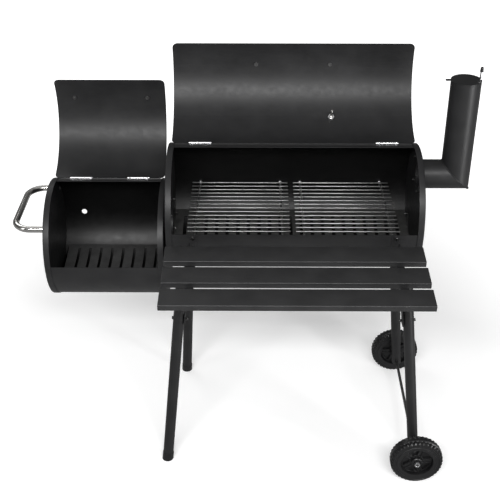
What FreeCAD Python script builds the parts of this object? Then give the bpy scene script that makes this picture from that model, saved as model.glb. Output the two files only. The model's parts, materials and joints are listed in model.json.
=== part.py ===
import FreeCAD, Part

import math
import os

# Offset smoker. Millimetres, +Z up, +X from the firebox towards the chimney, +Y to the back.
# Everything is laid out from the middle of the main barrel's axis (x = y = 0, floor at z = 0) and is
# moved by ORIGIN at the end, so that the origin lies on the floor under the middle of the whole object.

# sheet metal and fits
SHEET = 1.5
FLANGE_WIDTH = 15.0      # depth of the end caps' turned rims
CONTACT_GAP = 0.05       # between parts that rest against each other
SHELL_DROP = 1.6         # the shell's outside lies this far inside the end cap's rim
LID_LIFT = 0.6           # the lid's inside lies this far outside the rim
LID_LAP_DEG = 0.8        # the closed lid reaches this far below the front lip
LID_INSET = 7.5          # from the end cap's face to the lid's edge
LID_PAST_PIN = 0.8       # how far the closed lid reaches back past the hinge pin's axis
LID_CORNER = 14.0

# main barrel
MAIN_LENGTH = 620.0
MAIN_RADIUS = 155.0
MAIN_AXIS_Z = 704.3
MAIN_HINGE_DEG = 76.0    # angles about a barrel's axis, from +Y towards +Z
MAIN_STRIP_DEG = 85.0    # front edge of the fixed strip in front of the hinge
MAIN_LIP_DEG = 180.0
MAIN_OPENING_DEG = 161.0

# firebox
FIRE_LENGTH = 294.6
FIRE_RADIUS = 148.6
FIRE_AXIS_Z = 611.2
FIRE_HINGE_DEG = 73.0
FIRE_STRIP_DEG = 80.5
FIRE_LIP_DEG = 182.2
FIRE_OPENING_DEG = 153.7
BODY_GAP = 7.2           # between the two barrels, bridged by the flue collar

# flue between the barrels
FLUE_RADIUS = 45.0
FLUE_Z = 652.0
FLUE_BOLT_RADIUS = 60.0

# hinges
PIN_RISE = 1.7           # of the hinge pin above the rim
PIN_RADIUS = 1.5
PIN_CLEARANCE = 0.05
KNUCKLE_RADIUS = 2.9
KNUCKLES = 5
KNUCKLE_GAP = 0.3
HINGE_LENGTH = 54.0
HINGE_LEAF = 0.9
LEAF_WIDTH = 19.0
LEAF_GAP = 0.3           # between the folded leaves
MAIN_HINGE_X = (-231.8, 231.8)
FIRE_HINGE_OFFSET = 72.6

# bolts
BOLT_RADIUS = 2.5
HOLE_GAP = 0.3
NUT_FLATS = 8.0
NUT_HEIGHT = 4.0
HEAD_HEIGHT = 3.5
NUT_GAP = 0.05

# D-handles
HANDLE_RADIUS = 6.0
HANDLE_BEND = 25.0
LID_HANDLE_SPAN = 186.0
LID_HANDLE_STANDOFF = 48.0
MAIN_HANDLE_DEG = 159.3
FIRE_HANDLE_DEG = 161.0
SIDE_HANDLE_RADIUS = 8.0
SIDE_HANDLE_SPAN = 218.0
SIDE_HANDLE_BEND = 44.0
SIDE_HANDLE_STANDOFF = 76.0
SIDE_HANDLE_Y = 3.0
SIDE_HANDLE_Z = 690.0
SCREW_RADIUS = 2.5
SCREW_HEAD = 5.0

# thermometer on the main lid
GAUGE_X = 97.0
GAUGE_DEG = 109.0
GAUGE_RADIUS = 29.0
GAUGE_DEPTH = 16.0
GAUGE_WALL = 2.0
STEM_RADIUS = 4.0
PROBE_RADIUS = 2.8
PROBE_LENGTH = 24.0

# cooking grates
GRATE_WIDTH = 252.0
GRATE_DEPTH = 262.0
GRATE_GAP = 13.0
GRATE_SHIFT = -2.0
GRATE_Z = 698.9          # of the long wires' axes
WIRE_RADIUS = 2.0
WIRES = 14
CROSS_WIRE_RADIUS = 2.5
CROSS_WIRE_INSET = 20.0
CROSS_WIRE_OVERHANG = 9.0
REST_TIP = 28.0          # how far the grate rests reach in from the shell

# charcoal pans
PAN_EDGE_DEG = 34.0      # below the axis, where the pan's edge meets the shell
PAN_SAG = 26.0
PAN_SLOT = 9.0
PAN_PANELS = 4          # lengthwise
PAN_PITCH = 28.0
PAN_BOLT_Y = 83.0
PAN_EAR = 28.0
PAN_BOLT_Z = 631.0
FIRE_PAN_EDGE_DEG = 40.3
FIRE_PAN_SAG = 14.0
FIRE_PAN_PITCH = 30.0
FIRE_PAN_SLOT = 7.0
FIRE_PAN_END_GAP = 9.0   # clears the vent's holes and the flue collar's bolts

# air vent, on the firebox's left end, and the small hole in its back
VENT_Y = -54.0
VENT_Z = FIRE_AXIS_Z - 92.0
VENT_RADIUS = 34.0
VENT_HOLE = 7.0
VENT_HOLE_CIRCLE = 18.0
VENT_TAB = 7.0           # half the tab's width
VENT_TAB_RISE = 16.0
VENT_HOLES = 4
BACK_HOLE_X = -558.4
BACK_HOLE_DEG = -4.25
BACK_HOLE_RADIUS = 7.0

# chimney
STACK_X = 400.3
STACK_RADIUS = 36.1
STACK_AXIS_Z = 791.6     # of the horizontal pipe
STACK_TOP = 1037.0
FLANGE_RADIUS = 56.0
FLANGE_PLATE = 2.0
FLANGE_BOLT_CIRCLE = 46.0
DAMPER_RADIUS = 36.5
DAMPER_LIFT = 0.4
DAMPER_PIVOT = 33.3      # from the stack's axis
DAMPER_TAB = 12.0
POST_RADIUS = 2.0
SLEEVE_RADIUS = 3.0
SLEEVE_HEIGHT = 18.5
KNOB_RADIUS = 4.2
KNOB_HEIGHT = 12.5

# front shelf
SLATS = ("front", "middle", "rear")
SLAT_LENGTH = 613.0
SLAT_WIDTH = 61.0
SLAT_PITCH = 81.6
SLAT_LIP = 14.5
SLAT_SHEET = 1.2
SHELF_CENTRE_X = -2.0
SHELF_FRONT_Y = -408.8
SHELF_TILT_DEG = 4.17
SHELF_PIVOT_Y = -190.0
SHELF_PIVOT_Z = 691.6
BRACKET_X = 254.0
BRACKET_PLATE = 2.5
BRACKET_FLANGE = 20.0
BRACKET_FRONT_Y = -402.0
BRACKET_TOE = 16.0
BRACKET_HEEL = 74.0
BRACKET_TAB_DEG = (180.5, 213.0)
BRACKET_BOLT_DEG = (183.2, 207.0)

# legs: where each one's axis meets the floor and where its top is
LEG_RADIUS = 14.0
LEG_WALL = 1.5
LEG_TOP_Z = 585.0
LEGS = {
    "leg_front_left": ((-333.0, -172.0), (-275.0, -125.0)),
    "leg_rear_left": ((-304.0, 219.0), (-272.0, 141.0)),
    "leg_front_right": ((341.5, -189.0), (282.5, -127.0)),
    "leg_rear_right": ((343.0, 196.0), (283.0, 134.0)),
}
LEG_PLATE = 3.0
LEG_BOLTS = (28.0, 139.0)    # below the leg's top, along the leg
LEG_PLATE_END = 152.0
FOOT_RADIUS = 15.2
FOOT_HEIGHT = 22.0
FOOT_FLOOR = 4.0

# wheels and axle
WHEEL_RADIUS = 69.4
WHEEL_WIDTH = 35.8
AXLE_X = 335.0
AXLE_RADIUS = 4.0
AXLE_CLEARANCE = 0.05
WHEEL_FRONT_Y = (-262.9, -227.1)
WHEEL_REAR_Y = (212.5, 248.3)
WHEEL_SIDE_GAP = 0.4
WHEEL_RIM_IN = 41.0
WHEEL_BOSS = 14.0
WHEEL_BOSS_RECESS = 2.0
WHEEL_SHOULDER = 5.0
WHEEL_WEB = 4.0
SPOKES = 5
SPOKE_WIDTH = 10.0
SPOKE_DEPTH = 14.0
SPACER_RADIUS = 8.0
AXLE_NUT_FLATS = 13.0
AXLE_NUT_HEIGHT = 7.0

FIRE_RIGHT = -MAIN_LENGTH / 2 - BODY_GAP
FIRE_LEFT = FIRE_RIGHT - FIRE_LENGTH
FIRE_CENTRE = (FIRE_LEFT + FIRE_RIGHT) / 2
AXLE_Z = WHEEL_RADIUS
AXLE_FRONT = WHEEL_FRONT_Y[0] - WHEEL_SIDE_GAP - AXLE_NUT_HEIGHT
AXLE_REAR = WHEEL_REAR_Y[1] + WHEEL_SIDE_GAP + AXLE_NUT_HEIGHT
KNOB_X = STACK_X + DAMPER_PIVOT
X_LOW = FIRE_LEFT - SIDE_HANDLE_STANDOFF - SIDE_HANDLE_RADIUS
X_HIGH = KNOB_X + KNOB_RADIUS
Y_HIGH = AXLE_REAR
ORIGIN = FreeCAD.Vector(-(X_LOW + X_HIGH) / 2, -(SHELF_FRONT_Y + Y_HIGH) / 2, 0)

ALONG_X = FreeCAD.Vector(1, 0, 0)
ALONG_Y = FreeCAD.Vector(0, 1, 0)
ALONG_Z = FreeCAD.Vector(0, 0, 1)
parts = {}


def vec(x, y, z):
    return FreeCAD.Vector(x, y, z)


def radial(deg):
    """The unit vector at an angle from +Y towards +Z."""
    return vec(0, math.cos(math.radians(deg)), math.sin(math.radians(deg)))


def on_barrel(x, radius, deg, axis_z):
    return vec(x, 0, axis_z) + radial(deg) * radius


def rod(start, end, radius):
    along = end - start
    return Part.makeCylinder(radius, along.Length, start, along)


def pipe(start, end, radius, wall):
    return rod(start, end, radius).cut(rod(start, end, radius - wall))


def box(low, high):
    return Part.makeBox(high[0] - low[0], high[1] - low[1], high[2] - low[2], vec(*low))


def fuse(shapes):
    first, *rest = shapes
    return first.multiFuse(rest).removeSplitter() if rest else first


def prism(points, along):
    """A flat outline pushed along a vector."""
    return Part.Face(Part.makePolygon(points + points[:1])).extrude(along)


def hexagon(centre, along, flats, height):
    """A hexagonal prism that starts at centre and runs along a direction."""
    ring = [vec(flats / math.sqrt(3) * math.cos(math.radians(60 * k)),
                flats / math.sqrt(3) * math.sin(math.radians(60 * k)), 0) for k in range(6)]
    solid = prism(ring, vec(0, 0, height))
    solid.Placement = FreeCAD.Placement(centre, FreeCAD.Rotation(ALONG_Z, along))
    return solid


def curved_plate(x_range, r_in, r_out, degs, axis_z):
    """A plate bent about an axis along X."""
    start, end = degs
    middle = (start + end) / 2
    x = x_range[0]
    inner = Part.Arc(*[on_barrel(x, r_in, a, axis_z) for a in (start, middle, end)])
    outer = Part.Arc(*[on_barrel(x, r_out, a, axis_z) for a in (end, middle, start)])
    edges = [inner, Part.LineSegment(inner.EndPoint, outer.StartPoint),
             outer, Part.LineSegment(outer.EndPoint, inner.StartPoint)]
    wire = Part.Wire([edge.toShape() for edge in edges])
    return Part.Face(wire).extrude(vec(x_range[1] - x, 0, 0))


def bolt(start, along, grip, tail=3.0, head=HEAD_HEIGHT):
    """A hex bolt whose head sits at start and whose nut sits grip further along; and its nut."""
    end = start + along * (grip + NUT_HEIGHT + tail)
    screw = fuse([hexagon(start, along * -1, NUT_FLATS, head), rod(start, end, BOLT_RADIUS)])
    nut = hexagon(start + along * (grip + NUT_GAP), along, NUT_FLATS, NUT_HEIGHT)
    return [screw, nut.cut(rod(start, end, BOLT_RADIUS + NUT_GAP))]


def bolt_hole(start, along, length, radius=BOLT_RADIUS):
    return rod(start - along * length, start + along * length, radius + HOLE_GAP)


def turn(shape, pivot, deg):
    """A copy turned about an axis along X."""
    copy = shape.copy()
    copy.rotate(pivot, ALONG_X, deg)
    return copy


def rounded_rod(points, radius, bend):
    """A round bar through the points, with its corners bent to a radius."""
    edges = []
    at = points[0]
    for before, corner, after in zip(points, points[1:], points[2:]):
        back = (before - corner).normalize()
        ahead = (after - corner).normalize()
        reach = bend / math.tan(back.getAngle(ahead) / 2)
        inward = (back + ahead).normalize()
        centre = corner + inward * (bend / math.sin(back.getAngle(ahead) / 2))
        first, last = corner + back * reach, corner + ahead * reach
        edges.append(Part.LineSegment(at, first).toShape())
        edges.append(Part.Arc(first, centre - inward * bend, last).toShape())
        at = last
    edges.append(Part.LineSegment(at, points[-1]).toShape())
    start = points[0]
    ring = Part.Wire([Part.makeCircle(radius, start, points[1] - start)])
    return Part.Wire(edges).makePipeShell([ring], True, False)


# the pins' axes and the flue, vent and chimney bolts, which several parts share

def pin_at(radius, deg, axis_z):
    return on_barrel(0, radius + PIN_RISE, deg, axis_z)


MAIN_PIN = pin_at(MAIN_RADIUS, MAIN_HINGE_DEG, MAIN_AXIS_Z)
FIRE_PIN = pin_at(FIRE_RADIUS, FIRE_HINGE_DEG, FIRE_AXIS_Z)
FIRE_HINGE_X = (FIRE_CENTRE - FIRE_HINGE_OFFSET, FIRE_CENTRE + FIRE_HINGE_OFFSET)
GRATE_CENTRES = [GRATE_SHIFT + side * (GRATE_WIDTH + GRATE_GAP) / 2 for side in (-1, 1)]
CROSS_WIRE_X = [centre + side * (GRATE_WIDTH / 2 - CROSS_WIRE_INSET)
                for centre in GRATE_CENTRES for side in (-1, 1)]
CROSS_WIRE_Z = GRATE_Z - WIRE_RADIUS - CROSS_WIRE_RADIUS + 0.3
REST_Z = CROSS_WIRE_Z - CROSS_WIRE_RADIUS - BOLT_RADIUS - 0.3
FLUE_BOLTS = [vec(0, 0, FLUE_Z) + radial(45 + 90 * k) * FLUE_BOLT_RADIUS for k in range(4)]
STACK_BOLTS = [vec(0, 0, STACK_AXIS_Z) + radial(45 + 90 * k) * FLANGE_BOLT_CIRCLE for k in range(4)]
PAN_BOLTS = [vec(0, side * PAN_BOLT_Y, PAN_BOLT_Z) for side in (-1, 1)]
SIDE_HANDLE_ENDS = [vec(FIRE_LEFT, SIDE_HANDLE_Y + side * SIDE_HANDLE_SPAN / 2, SIDE_HANDLE_Z)
                    for side in (-1, 1)]
VENT_CENTRE = vec(FIRE_LEFT, VENT_Y, VENT_Z)


def end_cap(face_x, inward, radius, axis_z):
    """A pressed disc with a turned rim; inward is +1 or -1 along X."""
    bend = 2.5
    outline = [(0, 0), (radius - bend, 0), (radius, bend), (radius, FLANGE_WIDTH),
               (radius - SHEET, FLANGE_WIDTH), (radius - SHEET, SHEET), (0, SHEET)]
    points = [vec(face_x + inward * x, 0, axis_z + r) for r, x in outline]
    corner = (radius - bend * (1 - math.sqrt(0.5)), bend * (1 - math.sqrt(0.5)))
    knee = vec(face_x + inward * corner[1], 0, axis_z + corner[0])
    edges = [Part.Arc(points[k], knee, points[k + 1]).toShape() if k == 1
             else Part.LineSegment(points[k], points[(k + 1) % len(points)]).toShape()
             for k in range(len(points))]
    return Part.Face(Part.Wire(edges)).revolve(vec(face_x, 0, axis_z), ALONG_X, 360)


def shell(x_range, radius, axis_z, lip_deg, strip_deg):
    """The fixed part of a barrel: from the front lip, under the bottom, to the strip past the hinge."""
    inside = (x_range[0] + SHEET + CONTACT_GAP, x_range[1] - SHEET - CONTACT_GAP)
    outer = radius - SHELL_DROP
    return curved_plate(inside, outer - SHEET, outer, (lip_deg, strip_deg + 360), axis_z)


def lid_sheet(x_range, radius, axis_z, hinge_deg, lip_deg, hinge_places):
    """A lid in its closed place, with its four corners rounded and a notch for each hinge."""
    inner = radius + LID_LIFT
    start = hinge_deg - math.degrees(LID_PAST_PIN / radius)
    end = lip_deg + LID_LAP_DEG
    low, high = x_range[0] + LID_INSET, x_range[1] - LID_INSET
    sheet = curved_plate((low, high), inner, inner + SHEET, (start, end), axis_z)
    corners = [edge for edge in sheet.Edges if abs(edge.Length - SHEET) < 0.01]
    notch = HINGE_LENGTH / 2 + 1.5
    clear = hinge_deg + math.degrees((KNUCKLE_RADIUS + 0.5) / radius)
    notches = [curved_plate((x - notch, x + notch), inner - 1, inner + SHEET + 1, (start - 1, clear), axis_z)
               for x in hinge_places]
    return sheet.makeFillet(LID_CORNER, corners).cut(notches)


def hinge_leaf(centre_x, radius, deg, axis_z, moving):
    """One leaf of a butt hinge with its knuckles, folded shut."""
    pin = pin_at(radius, deg, axis_z)
    step = HINGE_LENGTH / KNUCKLES
    low = centre_x - HINGE_LENGTH / 2
    inner = radius - SHELL_DROP + CONTACT_GAP
    if moving:
        inner += HINGE_LEAF + LEAF_GAP
    outer = inner + HINGE_LEAF
    start = deg + math.degrees((KNUCKLE_RADIUS + 0.5) / radius)
    end = deg + math.degrees(LEAF_WIDTH / radius)
    solids = [curved_plate((low, low + HINGE_LENGTH), inner, outer, (start, end), axis_z)]
    for k in range(1 if moving else 0, KNUCKLES, 2):
        span = (low + k * step + KNUCKLE_GAP / 2, low + (k + 1) * step - KNUCKLE_GAP / 2)
        solids.append(curved_plate(span, inner, outer, (deg, start + 0.2), axis_z))
        solids.append(rod(vec(span[0], pin.y, pin.z), vec(span[1], pin.y, pin.z), KNUCKLE_RADIUS))
    bore = rod(vec(low - 1, pin.y, pin.z), vec(low + HINGE_LENGTH + 1, pin.y, pin.z),
               PIN_RADIUS + PIN_CLEARANCE)
    return fuse(solids).cut(bore)


def hinge_pin(centre_x, pin):
    half = HINGE_LENGTH / 2
    head = 0.8
    shank = rod(vec(centre_x - half, pin.y, pin.z), vec(centre_x + half, pin.y, pin.z), PIN_RADIUS)
    ends = [rod(vec(centre_x + side * (half + 0.1), pin.y, pin.z),
                vec(centre_x + side * (half + 0.1 + head), pin.y, pin.z), PIN_RADIUS + 0.6)
            for side in (-1, 1)]
    joins = [rod(vec(centre_x + side * (half - 1), pin.y, pin.z),
                 vec(centre_x + side * (half + 0.2), pin.y, pin.z), PIN_RADIUS) for side in (-1, 1)]
    return fuse([shank] + ends + joins)


def lid_handle(centre_x, radius, deg, axis_z):
    """A D-handle standing on the outside of a closed lid."""
    out = radial(deg)
    foot = radius + LID_LIFT
    top = on_barrel(centre_x, radius + LID_LIFT + SHEET, deg, axis_z) + out * LID_HANDLE_STANDOFF
    half = vec(LID_HANDLE_SPAN / 2, 0, 0)
    base = on_barrel(centre_x, foot, deg, axis_z)
    bar = rounded_rod([base - half, top - half, top + half, base + half], HANDLE_RADIUS, HANDLE_BEND)
    surface = rod(vec(centre_x - 200, 0, axis_z), vec(centre_x + 200, 0, axis_z),
                  radius + LID_LIFT + SHEET + CONTACT_GAP)
    sockets = [screw_hole(base + half * side, out) for side in (-1, 1)]
    return bar.cut([surface] + sockets)


def screw_hole(base, out):
    return rod(base - out * 5, base + out * 18, SCREW_RADIUS + NUT_GAP)


def lid_screws(centre_x, radius, deg, axis_z):
    """Pan-head screws from the lid's inside into the handle's ends."""
    out = radial(deg)
    screws = []
    for side in (-1, 1):
        seat = on_barrel(centre_x + side * LID_HANDLE_SPAN / 2, radius + LID_LIFT - 0.2, deg, axis_z)
        head = rod(seat - out * 2.4, seat, SCREW_HEAD)
        screws.append(fuse([head, rod(seat - out, seat + out * 16, SCREW_RADIUS)]))
    return screws


def opened(shape, pin, deg):
    """The rest place of something on a lid: opened about the hinge pin."""
    return turn(shape, pin, -deg)


def add(node, *shapes):
    """Keeps a node: one solid, or a group of separate solids."""
    solids = [solid for shape in shapes for solid in shape.Solids]
    moved = [solid.copy() for solid in solids]
    for solid in moved:
        solid.translate(ORIGIN)
    parts[node] = moved[0] if len(moved) == 1 else Part.makeCompound(moved)


def build_main_barrel():
    half = MAIN_LENGTH / 2
    shell_outer = MAIN_RADIUS - SHELL_DROP
    body = shell((-half, half), MAIN_RADIUS, MAIN_AXIS_Z, MAIN_LIP_DEG, MAIN_STRIP_DEG)
    holes = [bolt_hole(vec(x, shell_outer, REST_Z), ALONG_Y, 12) for x in CROSS_WIRE_X]
    for side in (-1, 1):
        for deg in BRACKET_BOLT_DEG:
            holes.append(bolt_hole(bracket_bolt_at(side, deg), radial(deg), 12))
    add("main_barrel_shell", body.cut(holes))

    left = end_cap(-half, 1, MAIN_RADIUS, MAIN_AXIS_Z)
    flue = rod(vec(-half - 5, 0, FLUE_Z), vec(-half + 5, 0, FLUE_Z), FLUE_RADIUS)
    holes = [bolt_hole(vec(-half, p.y, p.z), ALONG_X, 5) for p in FLUE_BOLTS + PAN_BOLTS]
    add("main_left_end_cap", left.cut([flue] + holes))

    right = end_cap(half, -1, MAIN_RADIUS, MAIN_AXIS_Z)
    mouth = rod(vec(half - 5, 0, STACK_AXIS_Z), vec(half + 5, 0, STACK_AXIS_Z), STACK_RADIUS - SHEET)
    holes = [bolt_hole(vec(half, p.y, p.z), ALONG_X, 5) for p in STACK_BOLTS + PAN_BOLTS]
    add("main_right_end_cap", right.cut([mouth] + holes))


def build_firebox():
    span = (FIRE_LEFT, FIRE_RIGHT)
    body = shell(span, FIRE_RADIUS, FIRE_AXIS_Z, FIRE_LIP_DEG, FIRE_STRIP_DEG)
    centre = on_barrel(BACK_HOLE_X, FIRE_RADIUS, BACK_HOLE_DEG, FIRE_AXIS_Z)
    out = radial(BACK_HOLE_DEG)
    add("firebox_shell", body.cut(rod(centre - out * 10, centre + out * 5, BACK_HOLE_RADIUS)))

    left = end_cap(FIRE_LEFT, 1, FIRE_RADIUS, FIRE_AXIS_Z)
    holes = [rod(p - ALONG_X * 5, p + ALONG_X * 5, SCREW_RADIUS + HOLE_GAP) for p in SIDE_HANDLE_ENDS]
    holes += [rod(p - ALONG_X * 5, p + ALONG_X * 5, VENT_HOLE) for p in vent_hole_centres()]
    holes.append(rod(VENT_CENTRE - ALONG_X * 5, VENT_CENTRE + ALONG_X * 5, SCREW_RADIUS + HOLE_GAP))
    add("firebox_left_end_cap", left.cut(holes))

    right = end_cap(FIRE_RIGHT, -1, FIRE_RADIUS, FIRE_AXIS_Z)
    flue = rod(vec(FIRE_RIGHT - 5, 0, FLUE_Z), vec(FIRE_RIGHT + 5, 0, FLUE_Z), FLUE_RADIUS)
    holes = [bolt_hole(vec(FIRE_RIGHT, p.y, p.z), ALONG_X, 5) for p in FLUE_BOLTS]
    add("firebox_right_end_cap", right.cut([flue] + holes))


def build_flue_collar():
    """A ring between the two end caps, which carries the smoke across and spaces the barrels."""
    start = vec(FIRE_RIGHT + CONTACT_GAP, 0, FLUE_Z)
    end = vec(-MAIN_LENGTH / 2 - CONTACT_GAP, 0, FLUE_Z)
    ring = pipe(start, end, FLUE_BOLT_RADIUS + 9, FLUE_BOLT_RADIUS + 9 - FLUE_RADIUS)
    holes = [bolt_hole(vec(FIRE_RIGHT, p.y, p.z), ALONG_X, 20) for p in FLUE_BOLTS]
    add("flue_collar", ring.cut(holes))


def build_body_bolts():
    """The M5 bolts and nuts that hold the barrels together and carry the pan, chimney and shelf."""
    half = MAIN_LENGTH / 2
    solids = []
    for p in FLUE_BOLTS:
        grip = BODY_GAP + 2 * SHEET + 2 * CONTACT_GAP
        solids += bolt(vec(FIRE_RIGHT - SHEET - CONTACT_GAP, p.y, p.z), ALONG_X, grip)
    for p in STACK_BOLTS:
        start = vec(half + FLANGE_PLATE + 2 * CONTACT_GAP, p.y, p.z)
        solids += bolt(start, ALONG_X * -1, FLANGE_PLATE + SHEET + 3 * CONTACT_GAP)
    for side in (-1, 1):
        for p in PAN_BOLTS:
            start = vec(side * (half + CONTACT_GAP), p.y, p.z)
            solids += bolt(start, ALONG_X * -side, 2 * SHEET + 6 * CONTACT_GAP)
        for deg in BRACKET_BOLT_DEG:
            out = radial(deg)
            start = bracket_bolt_at(side, deg) + out * (2 * CONTACT_GAP + 2)
            solids += bolt(start, out * -1, 2 + SHEET + 4 * CONTACT_GAP)
    add("body_bolts", *solids)


def build_grate_rests():
    """What the grates' cross wires lie on: long bolts through the shell's back, studs on its front."""
    solids = []
    rise = REST_Z - MAIN_AXIS_Z
    outer = math.sqrt((MAIN_RADIUS - SHELL_DROP) ** 2 - rise ** 2)
    inner = math.sqrt((MAIN_RADIUS - SHELL_DROP - SHEET) ** 2 - rise ** 2)
    for x in CROSS_WIRE_X:
        back = vec(x, outer + 0.6, REST_Z)
        solids += bolt(back, ALONG_Y * -1, SHEET + 1.2, REST_TIP - NUT_HEIGHT - SHEET)
        front = vec(x, 1 - inner, REST_Z)
        solids.append(rod(front, front + ALONG_Y * REST_TIP, BOLT_RADIUS))
    add("grate_rest_bolts", *solids)


def curved_pan(x_range, edge_deg, sag, radius, axis_z):
    """A dished sheet whose two long edges rest on the shell; and the cylinder of its underside."""
    wall = radius - SHELL_DROP - SHEET - CONTACT_GAP
    reach = wall * math.cos(math.radians(edge_deg))
    edge_z = axis_z - wall * math.sin(math.radians(edge_deg))
    bow = (reach ** 2 + sag ** 2) / (2 * sag)
    half_deg = math.degrees(math.asin(reach / bow))
    under_z = edge_z - sag + bow
    plate = curved_plate(x_range, bow, bow + SHEET, (270 - half_deg, 270 + half_deg), under_z)
    inside = rod(vec(x_range[0] - 1, 0, axis_z), vec(x_range[1] + 1, 0, axis_z), wall)
    under = rod(vec(x_range[0], 0, under_z), vec(x_range[1], 0, under_z), bow + SHEET)
    return plate.common(inside), reach, edge_z, under


def slots(x_range, pitch, width, half_length, z_range):
    """Cutters for rows of slots that run along Y."""
    middle = (x_range[0] + x_range[1]) / 2
    count = int((x_range[1] - x_range[0] - pitch) / pitch)
    cutters = []
    for k in range(count):
        x = middle + (k - (count - 1) / 2) * pitch
        for side in (-1, 1):
            near, far = side * 10, side * half_length
            low, high = min(near, far), max(near, far)
            cutters.append(box((x - width / 2, low, z_range[0]), (x + width / 2, high, z_range[1])))
    return cutters


def build_charcoal_pan():
    """The main chamber's slotted pan, hung on bolts by four ears."""
    half = MAIN_LENGTH / 2 - SHEET - 3 * CONTACT_GAP
    width = 2 * half / PAN_PANELS
    panels = []
    for k in range(PAN_PANELS):
        span = (-half + k * width, -half + (k + 1) * width)
        panels.append(curved_pan(span, PAN_EDGE_DEG, PAN_SAG, MAIN_RADIUS, MAIN_AXIS_Z)[0])
    _, reach, edge_z, under = curved_pan((-half, half), PAN_EDGE_DEG, PAN_SAG, MAIN_RADIUS, MAIN_AXIS_Z)
    cutters = slots((-half, half), PAN_PITCH, PAN_SLOT, reach - 22, (edge_z - 60, edge_z + 5))
    ears = []
    holes = []
    for side in (-1, 1):
        x = side * (half - SHEET / 2)
        for p in PAN_BOLTS:
            ears.append(box((x - SHEET / 2, p.y - PAN_EAR / 2, edge_z - PAN_SAG),
                            (x + SHEET / 2, p.y + PAN_EAR / 2, PAN_BOLT_Z + 12)))
            holes.append(bolt_hole(vec(x, p.y, p.z), ALONG_X, 5))
    pan = panels[0].multiFuse(panels[1:] + [ear.common(under) for ear in ears])
    add("charcoal_pan", pan.cut(cutters + holes))


def build_firebox_grate():
    """The slotted charcoal grate in the firebox, resting on the shell."""
    low = FIRE_LEFT + SHEET + FIRE_PAN_END_GAP
    high = FIRE_RIGHT - SHEET - HEAD_HEIGHT - FIRE_PAN_END_GAP
    plate, reach, edge_z, _ = curved_pan((low, high), FIRE_PAN_EDGE_DEG, FIRE_PAN_SAG, FIRE_RADIUS,
                                         FIRE_AXIS_Z)
    cutters = slots((low, high), FIRE_PAN_PITCH, FIRE_PAN_SLOT, reach - 12, (edge_z - 40, edge_z + 5))
    add("firebox_charcoal_grate", plate.cut(cutters))


def build_cooking_grate(node, centre_x):
    """Fourteen wires along X, welded on two cross wires whose ends sit on the rest bolts."""
    solids = []
    half_x, half_y = GRATE_WIDTH / 2, GRATE_DEPTH / 2 - WIRE_RADIUS
    for k in range(WIRES):
        y = -half_y + k * 2 * half_y / (WIRES - 1)
        solids.append(rod(vec(centre_x - half_x, y, GRATE_Z), vec(centre_x + half_x, y, GRATE_Z),
                          WIRE_RADIUS))
    reach = half_y + CROSS_WIRE_OVERHANG
    for side in (-1, 1):
        x = centre_x + side * (half_x - CROSS_WIRE_INSET)
        solids.append(rod(vec(x, -reach, CROSS_WIRE_Z), vec(x, reach, CROSS_WIRE_Z), CROSS_WIRE_RADIUS))
    add(node, fuse(solids))


def build_lid(name, x_range, centre_x, radius, axis_z, hinge_deg, lip_deg, opening, handle_deg, pin,
              hinge_places):
    """A lid's sheet, handle and handle screws, opened to the rest place."""
    sheet = lid_sheet(x_range, radius, axis_z, hinge_deg, lip_deg, hinge_places)
    holes = [rod(on_barrel(centre_x + side * LID_HANDLE_SPAN / 2, radius - 5, handle_deg, axis_z),
                 on_barrel(centre_x + side * LID_HANDLE_SPAN / 2, radius + 5, handle_deg, axis_z),
                 SCREW_RADIUS + HOLE_GAP) for side in (-1, 1)]
    if name == "main_lid":
        across = on_barrel(GAUGE_X, radius, GAUGE_DEG, axis_z)
        aim = radial(GAUGE_DEG)
        holes.append(rod(across - aim * 5, across + aim * 5, STEM_RADIUS + HOLE_GAP))
    add(name + "_sheet", opened(sheet.cut(holes), pin, opening))
    add(name + "_handle", opened(lid_handle(centre_x, radius, handle_deg, axis_z), pin, opening))
    screws = lid_screws(centre_x, radius, handle_deg, axis_z)
    add(name + "_handle_screws", *[opened(screw, pin, opening) for screw in screws])


def build_hinges():
    fixed = []
    pins = []
    rows = (("main_lid", MAIN_HINGE_X, MAIN_RADIUS, MAIN_HINGE_DEG, MAIN_AXIS_Z, MAIN_PIN,
             MAIN_OPENING_DEG),
            ("firebox_lid", FIRE_HINGE_X, FIRE_RADIUS, FIRE_HINGE_DEG, FIRE_AXIS_Z, FIRE_PIN,
             FIRE_OPENING_DEG))
    for name, places, radius, deg, axis_z, pin, opening in rows:
        fixed += [hinge_leaf(x, radius, deg, axis_z, False) for x in places]
        pins += [hinge_pin(x, pin) for x in places]
        leaves = [opened(hinge_leaf(x, radius, deg, axis_z, True), pin, opening) for x in places]
        add(name + "_hinge_leaves", *leaves)
    add("hinge_fixed_leaves", *fixed)
    add("hinge_pins", *pins)


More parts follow.
